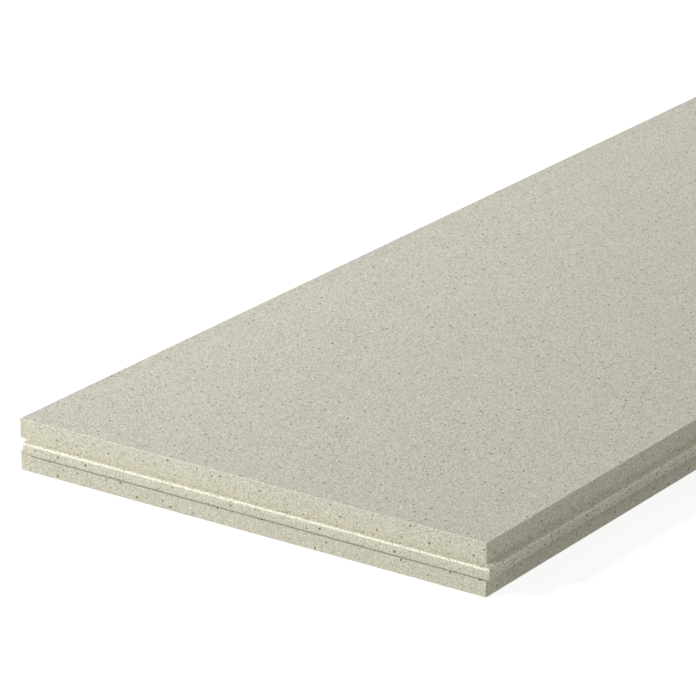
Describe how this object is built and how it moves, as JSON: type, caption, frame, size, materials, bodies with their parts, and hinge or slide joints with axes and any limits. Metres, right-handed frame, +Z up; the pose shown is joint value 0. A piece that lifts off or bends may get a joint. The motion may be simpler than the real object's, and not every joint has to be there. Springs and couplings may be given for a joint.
{
  "type": "tongue-and-groove insulation board",
  "caption": "Flat rigid foam insulation board for floors, walls and roofs, with tongues along one side and one end and matching grooves opposite.",
  "frame": {"origin": "centre of the underside, tongues included, on the floor that the board lies on", "axes": "+Z up through the thickness, +Y along the length towards the grooved end, +X across the width towards the tongued side"},
  "size_m": [0.61, 2.51, 0.06],
  "materials": {
    "foam": "matte, finely speckled extruded foam"
  },
  "bodies": {
    "root": {"insulation_board": "foam"}
  },
  "joints": []
}
